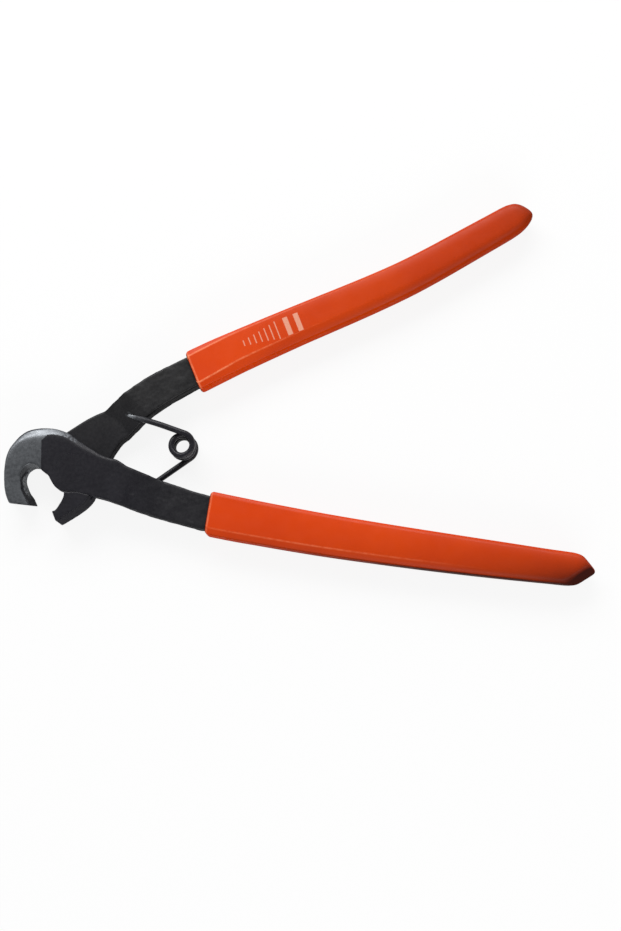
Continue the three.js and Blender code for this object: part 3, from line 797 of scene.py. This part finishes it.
def make_hook_lever():
    line = crown_line()[::-1]
    along = lengths_along(line) / MM
    widths = np.interp(along, BEVEL_PLACES, BEVEL_WIDTHS) * MM
    depths = np.interp(along, BEVEL_PLACES, BEVEL_DEPTHS) * MM
    cutter = bevel_cutter(line[::-1], widths[::-1], depths[::-1])
    obj, tang = forge("hook_lever", HOOK_NECK, cutter, HOOK_HOLE, -1)
    cut_inside(tang, HOOK_GRIP_CUTS)
    dent(obj, HOOK_HOLE)
    round_crown(obj, line, widths)

    co = read_points(obj.data)
    upright = np.abs(read_points(obj.data, "normal")[:, 2])
    distance, nearest = nearest_distance(co, line)
    bright, worn, facet = crown_looks(co, distance, distance - widths[nearest], along[nearest])
    bright, ground, below = mouth_looks(co, upright, distance, bright)
    flecked = 0.3 * facet + 2.0 * below
    # a painted sheen, paler towards the neck
    pale = 0.45 * smoothstep(12 * MM, 35 * MM, co[:, 0])
    set_point_values(obj.data, worn=worn, ground=ground, bright=bright, flecked=flecked, pale=pale)
    finish_lever(obj, tang, "hook_side", "hook_lever")


def make_anvil_lever():
    obj, tang = forge("anvil_lever", ANVIL_NECK, None, ANVIL_HOLE, 1)
    close_heel(obj)
    co = read_points(obj.data)
    # round the spring's hole, partly a scuff and partly a painted glint
    worn = 0.5 * fade(0.6 * MM, 1.8 * MM, away_from(co, ANVIL_HOLE)) * (co[:, 2] > MID_HEIGHT)
    dull = np.full(len(co), 0.2)
    height = co @ np.array(IMAGE_UP)
    # a painted sheen, paler up the image towards the neck
    pale = 0.5 * smoothstep(-8 * MM, 6 * MM, height) + 0.5 * smoothstep(8 * MM, 28 * MM, height)
    set_point_values(obj.data, worn=worn, ground=dull, bright=dull, flecked=dull, pale=pale)
    finish_lever(obj, tang, "anvil_side", "anvil_lever")


def finish_lever(obj, tang, body, node):
    boolean(obj, tang, "UNION")
    dress(obj, steel)
    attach(obj, body)
    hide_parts(node)


make_hook_lever()
make_anvil_lever()


# Grips

def grip_runs(node):
    """A grip's outline at half height, cut at the four corners of its mouth: outer skin and pocket wall."""
    loop = outline(node, MID_HEIGHT)
    corners = np.flatnonzero(np.abs(turns(loop)) > math.radians(60))
    loop = np.roll(loop, -corners[0], 0)
    corners = list(corners - corners[0]) + [len(loop)]
    loop = np.vstack([loop, loop[:1]])
    runs = [loop[a : b + 1] for a, b in zip(corners, corners[1:])]
    runs.sort(key=lambda run: -lengths_along(run)[-1])
    return runs[0], runs[1]


def grip_sides(skin):
    """The two long sides of a grip's outer outline, from the mouth to the tip."""
    body = smooth_line(skin, 0.2 * MM)
    middle = (body[0] + body[-1]) / 2
    tip = int(np.argmax(np.linalg.norm(body - middle, axis=1)))
    evenly = np.linspace(0, 1 - TIP_SHARE, BODY_STATIONS)[:-1]
    closer = 1 - TIP_SHARE * np.linspace(1, 0, TIP_STATIONS) ** 2
    shares = np.concatenate([evenly, closer])
    return resample(body[: tip + 1], shares), resample(body[tip:][::-1], shares)


def quarter_section(half, chamfer, flat):
    """Points from the middle of a grip's side to the middle of its front: how far in and how high."""
    scale = min(1, half / EDGE_HALF_WIDTH)
    edge, wide = EDGE_ROUND * scale, chamfer * scale
    full = GRIP_THICKNESS / 2
    shoulder = full - (chamfer - EDGE_ROUND) * CHAMFER_SLOPE
    points = [(0, 0.0), (0, 0.5 * (shoulder - EDGE_DROP)), (0, shoulder - EDGE_DROP)]
    for turn in (0.4, 0.8, 1.2):
        points.append((edge * (1 - math.cos(turn)), shoulder - EDGE_DROP * (1 - math.sin(turn))))
    points.append((edge, shoulder))
    band = CREASE_HALF_WIDTH * scale
    for at in (edge + (wide - band - edge) / 2, wide - band, wide):
        points.append((at, full - (wide - at) / scale * CHAMFER_SLOPE))
    for share in (0, 0.33, 0.66, 1):
        points.append((wide + band + (half - wide - band) * share, full))
    out = []
    for i, (inward, flat_height) in enumerate(points):
        inward = max(inward, half * 0.002 * i)
        domed = full * (1 - (1 - inward / half) ** DOME_POWER) ** (1 / DOME_POWER) if i else 0.0
        out.append((inward, flat * flat_height + (1 - flat) * domed))
    return out


CREASE_POINT = 9  # its number in a quarter of a section


def grip_section(left, right, shrink, lower, chamfers, flat):
    """A ring of points about a grip, narrower by shrink at each side and lower at front and back, with each
    point's place across from -1 to 1, its height and the side that it is a crease of."""
    across = right - left
    half = max(np.linalg.norm(across), 1e-6) / 2
    sideways = across / half / 2
    middle = (left + right) / 2
    fullness = min(1, half / FULL_HALF_WIDTH)
    tall = GRIP_THICKNESS / 2 * (THINNEST + (1 - THINNEST) * math.sqrt(1 - (1 - fullness) ** 2))
    thin = (tall - lower) / (GRIP_THICKNESS / 2)
    narrow = max(half - shrink, 0) / half
    quarters = []
    for side, chamfer in zip((-1, 1), chamfers):
        quarters.append([
            (side * (half - inward) * narrow, up * thin, side * (i == CREASE_POINT))
            for i, (inward, up) in enumerate(quarter_section(half, chamfer, flat))
        ])
    front = quarters[0] + quarters[1][::-1][1:]
    back = [(a, -u, 0) for a, u, _ in front[::-1][1:-1]]
    ring, places = [], []
    for a, u, crease in front + back:
        ring.append((*(middle + sideways * a), MID_HEIGHT + u))
        places.append((a / half, u, crease))
    return ring, places


def flatten_end(obj, first, second, rise, softness):
    """Presses what lies beyond a line in the middle plane onto two faces that lean back from it."""
    heading = unit(second - first)
    outward = np.array([heading[1], -heading[0]])
    co = read_points(obj.data)
    for side in (1, -1):
        normal = np.array([*(outward * math.cos(rise)), side * math.sin(rise)])
        beyond = (co - np.array([*first, MID_HEIGHT])) @ normal
        eased = -softness * np.logaddexp(0, -beyond / softness)
        co += (eased - beyond)[:, None] * normal
    move_points(obj.data, co)


def grip_stations(upper, lower):
    """Where the rings of a grip lie: the points at its sides, how much narrower and lower the ring is there,
    and how much it takes of the painted highlight on the mouth's lip and of the painted shade on its rim."""
    heading = unit((upper[1] + lower[1]) - (upper[0] + lower[0]))
    stations = []
    for turn in np.linspace(0, math.pi / 2, 8)[:-1]:
        at = MOUTH_ROUND * (1 - math.cos(turn))
        narrower = MOUTH_ROUND * (1 - math.sin(turn))
        left = max(0, 1 - at / MOUTH_EDGE)
        lower_by = MOUTH_EDGE * (1 - math.sqrt(1 - left**2))
        # the painted highlight on the mouth's lip
        lip = smoothstep(0.25 * MM, 0.5 * MM, at) * fade(0.8 * MM, 1.05 * MM, at)
        # painted shade on the mouth's rim
        rim = fade(0.14 * MM, 0.45 * MM, at)
        stations.append((upper[0] + heading * at, lower[0] + heading * at, narrower, lower_by, lip, rim))
    clear = int(np.argmax(np.linalg.norm(upper - upper[0], axis=1) > MOUTH_ROUND * 1.2))
    return stations + [(*sides, 0, 0, 0, 0) for sides in zip(upper[clear:], lower[clear:])]


def make_grip(node, body, material, end_cuts, looks):
    skin, wall = grip_runs(node)
    upper, lower = grip_sides(skin)
    up = np.array(IMAGE_UP.xy)
    if upper[0] @ up < lower[0] @ up:
        upper, lower = lower, upper
    stations = grip_stations(upper, lower)
    along = lengths_along(np.array([(one + other) / 2 for one, other, *_ in stations]))
    looks = {name: np.broadcast_to(values, len(LOOK_PLACES)) for name, values in looks.items()}
    points, crease_highlights, shades = [], [], []
    for (one, other, narrower, lower_by, lip, rim), share in zip(stations, along / along[-1]):
        look = {name: np.interp(share, LOOK_PLACES, values) for name, values in looks.items()}
        chamfers = (look["upper_chamfer"] * MM, look["lower_chamfer"] * MM)
        narrower += look["inset"] * MM
        ring, places = grip_section(one, other, narrower, lower_by, chamfers, look["flat"])
        points += ring
        for across, height, crease in places:
            # painted highlights along each crease and on the mouth's lip
            line = look["upper_crease"] if crease < 0 else look["lower_crease"] if crease > 0 else 0.0
            crease_highlights.append(max(line, look["lip"] * lip * (height > LIP_HEIGHT)))
            # painted shade, darker along the lower edge and on the mouth's rim
            edge = look["lower_edge"] * smoothstep(0.88, 1.0, across)
            shades.append(max(look["shade"] + look["shade_across"] * across + edge, rim))
    sides = len(ring)
    mesh = mesh_from(body + "_grip", points, [tuple(range(sides))[::-1]] + ring_faces(len(stations), sides))
    set_point_values(mesh, crease=crease_highlights, shade=np.clip(shades, 0, 1))
    close_mesh(mesh, 0.002 * MM)
    obj = new_object(node + "_skin", mesh)
    for first, second, rise, softness in end_cuts:
        flatten_end(obj, np.array(first) * MM, np.array(second) * MM, math.radians(rise), softness * MM)
    hollow = pocket(wall)
    cut_inside(hollow, end_cuts)
    boolean(obj, hollow, "DIFFERENCE")
    dress(obj, material, math.radians(50))
    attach(obj, body)
    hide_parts(node)


def pocket(wall):
    """The space inside a grip, from its wall's outline, let out past the mouth."""
    out = unit((wall[0] + wall[-1]) / 2 - wall.mean(0)) * POCKET_OUT
    shape = np.vstack([wall[:1] + out, wall, wall[-1:] + out])
    half = NECK_THICKNESS / 2 + POCKET_PLAY
    points = [(*p, height) for height in (MID_HEIGHT - half, MID_HEIGHT + half) for p in shape]
    return closed_object("pocket", points, capped_faces(2, len(shape)))


# By the share of a grip's length from its mouth: how far its sides are set in and how wide its chamfers are,
# in millimetres, how strong the painted highlights along each crease and on the mouth's lip are, how flat the
# front is, and how much painted shade darkens the grip in the middle, more towards the image's lower side and
# along the lower edge
LOOK_PLACES = (0, 0.08, 0.13, 0.3, 0.44, 0.6, 0.75, 0.88, 0.95, 1)
HOOK_GRIP_LOOKS = {
    "inset": (0.15, 0.15, 0.2, 0.2, 0.2, 0.15, 0.15, 0.25, 0.2, 0),
    "upper_chamfer": 1.3,
    "lower_chamfer": (2.2, 2.3, 2.3, 2.4, 2.4, 2.4, 2.3, 2.2, 2, 2),
    "upper_crease": 0,
    "lower_crease": (0.15, 0.25, 0.3, 0.35, 0.3, 0.1, 0, 0, 0, 0),
    "lip": (0.4, 0.4, 0, 0, 0, 0, 0, 0, 0, 0),
    "flat": (1, 1, 0.9, 0.7, 0.5, 0.3, 0.1, 0, 0, 0),
    "shade": (0, 0.03, 0.04, 0.08, 0.12, 0.18, 0.29, 0.42, 0.56, 0.97),
    "shade_across": (0.06, 0.1, 0.1, 0.12, 0.12, 0.14, 0.2, 0.32, 0.5, 0.4),
    "lower_edge": (0.1, 0.2, 0.3, 0.55, 0.75, 0.9, 0.9, 0.6, 0.2, 0),
}
ANVIL_GRIP_LOOKS = {
    "inset": (0.1, 0.15, 0.25, 0.35, 0.35, 0.4, 0.45, 0.5, 0.5, 0),
    "upper_chamfer": (2, 1.6, 1.2, 1, 1, 1, 1, 1, 1, 1),
    "lower_chamfer": (2.1, 2.7, 3.2, 3.3, 3.2, 3, 2.8, 2.5, 2.2, 2),
    "upper_crease": (0.8, 0.7, 0.4, 0.15, 0.1, 0.1, 0, 0, 0, 0),
    "lower_crease": (0.9, 0.85, 0.7, 0.1, 0, 0, 0, 0, 0, 0),
    "lip": (0.6, 0.6, 0, 0, 0, 0, 0, 0, 0, 0),
    "flat": (1, 1, 0.9, 0.6, 0.4, 0.2, 0.1, 0, 0, 0),
    "shade": (0, 0, 0.02, 0.12, 0.18, 0.22, 0.26, 0.3, 0.36, 0.6),
    "shade_across": (0, 0, 0, 0.02, 0.03, 0.06, 0.08, 0.06, 0.05, 0),
    "lower_edge": 0,
}
make_grip("hook_grip", "hook_side", vinyl, HOOK_GRIP_CUTS, HOOK_GRIP_LOOKS)
make_grip("anvil_grip", "anvil_side", marked_vinyl, ANVIL_GRIP_CUTS, ANVIL_GRIP_LOOKS)


# Spring

COIL_STEP = math.radians(6)
COIL_SHARE = 0.484  # of a blend, at which the coil would turn 0.476 of what the handles turn; no blend is made here


def tangent_angle(hole, side):
    """Where on the coil a straight arm from a hole touches it."""
    away = hole - COIL_AXIS
    return math.atan2(away.y, away.x) + side * math.acos(COIL_RADIUS / away.length)


def arm_line(hole, touch, level, sunk):
    """An arm: out of its hole, round a bend and straight to the coil, sunk by a share towards the hole."""
    rise = 1 if level > MID_HEIGHT else -1
    heading = (touch - hole).normalized()
    line = [Vector((hole.x, hole.y, MID_HEIGHT))]
    for k in range(BEND_STEPS + 1):
        turn = math.pi / 2 * k / BEND_STEPS
        out = BEND_RADIUS * (1 - math.cos(turn))
        up = BEND_RADIUS * (1 - math.sin(turn))
        line.append(Vector((*(hole + heading * out), level - rise * up)))
    far = (touch - hole).length
    for k in range(1, ARM_STEPS + 1):
        at = BEND_RADIUS + (far - BEND_RADIUS) * k / ARM_STEPS
        line.append(Vector((*(hole + heading * at), level)))
    for point in line:
        lower = sunk * fade(*ARM_SUNK_ENDS, (point.xy - hole).length)
        point.z = MID_HEIGHT + (point.z - MID_HEIGHT) * (1 - lower)
    return line


def coil_line(first, sweep, upper, lower, begin, end):
    """The part of the coil between two shares of its sweep."""
    count = max(2, round((end - begin) * sweep / COIL_STEP))
    line = []
    for k in range(count + 1):
        share = begin + (end - begin) * k / count
        angle = first - sweep * share
        radius = COIL_RADIUS * (1 - COIL_WAIST * math.sin(math.pi * share))
        place = COIL_AXIS + direction(angle) * radius
        line.append(Vector((*place, upper + (lower - upper) * share)))
    return line


def tube(name, line):
    """A round wire along a line."""
    points = []
    normal = Vector((1, 0, 0))
    last = len(line) - 1
    for i, middle in enumerate(line):
        heading = (line[min(i + 1, last)] - line[max(i - 1, 0)]).normalized()
        normal = (normal - heading * normal.dot(heading)).normalized()
        side = heading.cross(normal)
        for k in range(WIRE_SIDES):
            turn = 2 * math.pi * k / WIRE_SIDES
            points.append(middle + (normal * math.cos(turn) + side * math.sin(turn)) * WIRE_DIAMETER / 2)
    obj = new_object(name, mesh_from(name, points, capped_faces(len(line), WIRE_SIDES)))
    away = away_from(read_points(obj.data), ANVIL_HOLE)
    # a painted glint where the wire dips into the anvil lever's hole, and a paler stretch beyond it
    worn = 0.95 * fade(1.2 * MM, 2.6 * MM, away) + 0.14 * fade(3 * MM, 9 * MM, away)
    set_point_values(obj.data, worn=worn)
    dress(obj, wire, math.radians(60))
    return obj


def make_arm(name, hole, touch, line, at_hole):
    """A wire arm along its line. The span of a blend from its lever at the hole, where the blend's share is
    at_hole, to the coil's far side is worked out, but nothing uses it."""
    obj = tube(name, line)
    heading = (touch - hole).normalized()
    near = hole + heading * 1.2 * MM
    span = (touch + heading * COIL_RADIUS - near).length / abs(at_hole - COIL_SHARE)
    start_point, end_point = near, near + heading * span
    if at_hole > 0.5:
        start_point, end_point = end_point, start_point
    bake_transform(obj)
    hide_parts("torsion_spring")


def make_spring():
    lift = NECK_THICKNESS / 2 + ARM_STAND_OFF + WIRE_DIAMETER / 2
    upper, lower = MID_HEIGHT + lift, MID_HEIGHT - lift
    first = tangent_angle(ANVIL_HOLE, -1)
    last = tangent_angle(HOOK_HOLE, 1)
    sweep = (first - last) % (2 * math.pi) + COIL_WHOLE_TURNS * 2 * math.pi
    quarter = math.pi / 2 / sweep
    touch_a = COIL_AXIS + direction(first) * COIL_RADIUS
    touch_b = COIL_AXIS + direction(last) * COIL_RADIUS
    turn_a, coil, turn_b = (
        coil_line(first, sweep, upper, lower, begin, end)
        for begin, end in ((0, quarter), (quarter, 1 - quarter), (1 - quarter, 1))
    )
    arm_a = arm_line(ANVIL_HOLE, touch_a, upper, ARM_SUNK) + turn_a[1:]
    arm_b = arm_line(HOOK_HOLE, touch_b, lower, 0.0) + turn_b[::-1][1:]
    make_arm("spring_upper_arm", ANVIL_HOLE, touch_a, arm_a, 1.0)
    make_arm("spring_lower_arm", HOOK_HOLE, touch_b, arm_b, 0.0)
    body = tube("spring_coil", coil)
    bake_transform(body)
    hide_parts("torsion_spring")


make_spring()


# Rivet

RIVET_RADIUS = 4.9 * MM  # the head as it shows, spread over the edge of its seat
RIVET_EDGE = 0.05 * MM  # how high the head's wall is
RIVET_BEVEL = 0.04 * MM
RIVET_FLUSH = 0.012 * MM  # how far it stands out
RIVET_SIDES = 96
SHANK_RADIUS = 3 * MM
SHANK_END = 1.6 * MM  # from the front, and from the back


def make_rivet():
    """Both heads, ground flush, joined by a plain shank."""
    top = FRONT + RIVET_FLUSH
    half = [(SHANK_RADIUS, FRONT - SHANK_END), (RIVET_RADIUS, FRONT - RIVET_EDGE), (RIVET_RADIUS, FRONT),
            (RIVET_RADIUS - RIVET_BEVEL, top), (0.0, top)]
    profile = [(radius, FRONT - height) for radius, height in half[::-1]] + half
    points = []
    for radius, height in profile:
        points += [(*(direction(2 * math.pi * k / RIVET_SIDES) * radius), height) for k in range(RIVET_SIDES)]
    obj = closed_object("rivet_heads", points, ring_faces(len(profile), RIVET_SIDES), 0.0001 * MM)
    dress(obj, steel, math.radians(20))
    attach(obj, "hook_side")
    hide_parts("pivot_rivet")


make_rivet()


# Stage

FLOOR_SIZE = 6.0
FLOOR_SEEN = (0.92, 0.92, 0.92, 1)  # the floor's colour to the camera
FLOOR_BOUNCE = (0.3, 0.3, 0.3, 1)  # and to the light that it throws back
FLOOR_GLOW = 0.88  # how much of what the camera sees is plain white
ROOM_WALLS = (0.72, 0.72, 0.72, 1)  # level with the tool, and below it
ROOM_CEILING = (0.19, 0.19, 0.195, 1)
CEILING_EDGE = 0.8  # how high a direction of length 1 reaches there
TOOL_CENTRE = Vector((0.07, 0, 0))
# How far the lamps stand from the tool's centre, up the image, to its right and over the floor, how large
# they are and how many watts they give
LAMPS = {
    "top_softbox": ((0.8, -0.2, 0.65), (1.2, 0.5), 12),
    "low_softbox": ((-0.85, 0.3, 0.4), (0.9, 0.3), 5),
}


def make_floor():
    """A plane that shows as a white sheet with a soft shadow, and throws little light back at the tool."""
    half = FLOOR_SIZE / 2
    points = [(-half, -half, 0), (half, -half, 0), (half, half, 0), (-half, half, 0)]
    floor = new_object("floor", mesh_from("floor", points, [(0, 1, 2, 3)]))
    n = Nodes("floor")
    n.tree.nodes.remove(n.shader)
    path = n.new("LightPath")
    seen = path.outputs["Is Camera Ray"]
    for other in ("Is Glossy Ray", "Is Transmission Ray"):
        seen = n.math("MAXIMUM", seen, path.outputs[other])
    both = n.new("MixShader", Fac=n.math("MULTIPLY", seen, FLOOR_GLOW))
    diffuse = n.new("BsdfDiffuse", Color=n.mix(seen, FLOOR_BOUNCE, FLOOR_SEEN))
    n.link(diffuse.outputs[0], both.inputs[1])
    n.link(n.new("Emission").outputs[0], both.inputs[2])
    n.feed(n.tree.nodes["Material Output"], Surface=both.outputs[0])
    floor.data.materials.append(n.material)


def make_world():
    """A room with pale walls and a darker ceiling."""
    world = bpy.data.worlds.new("room")
    bpy.context.scene.world = world
    world.use_nodes = True
    tree = world.node_tree
    place = tree.nodes.new("ShaderNodeTexCoord")
    split = tree.nodes.new("ShaderNodeSeparateXYZ")
    tree.links.new(place.outputs["Generated"], split.inputs[0])
    ramp = tree.nodes.new("ShaderNodeValToRGB")
    tree.links.new(split.outputs["Z"], ramp.inputs["Fac"])
    low, high = ramp.color_ramp.elements
    low.color = ROOM_WALLS
    high.position, high.color = CEILING_EDGE, ROOM_CEILING
    tree.links.new(ramp.outputs["Color"], tree.nodes["Background"].inputs["Color"])


def make_lamps():
    for name, ((above, beside, over), size, watts) in LAMPS.items():
        data = bpy.data.lights.new(name, "AREA")
        data.shape = "RECTANGLE"
        data.size, data.size_y = size
        data.energy = watts
        lamp = new_object(name, data)
        lamp.location = TOOL_CENTRE + IMAGE_UP * above + IMAGE_RIGHT * beside + Vector((0, 0, over))
        lamp.rotation_euler = (TOOL_CENTRE - lamp.location).to_track_quat("-Z", "Y").to_euler()


make_floor()
make_world()
make_lamps()

scene = bpy.context.scene
scene.view_settings.view_transform = "Standard"
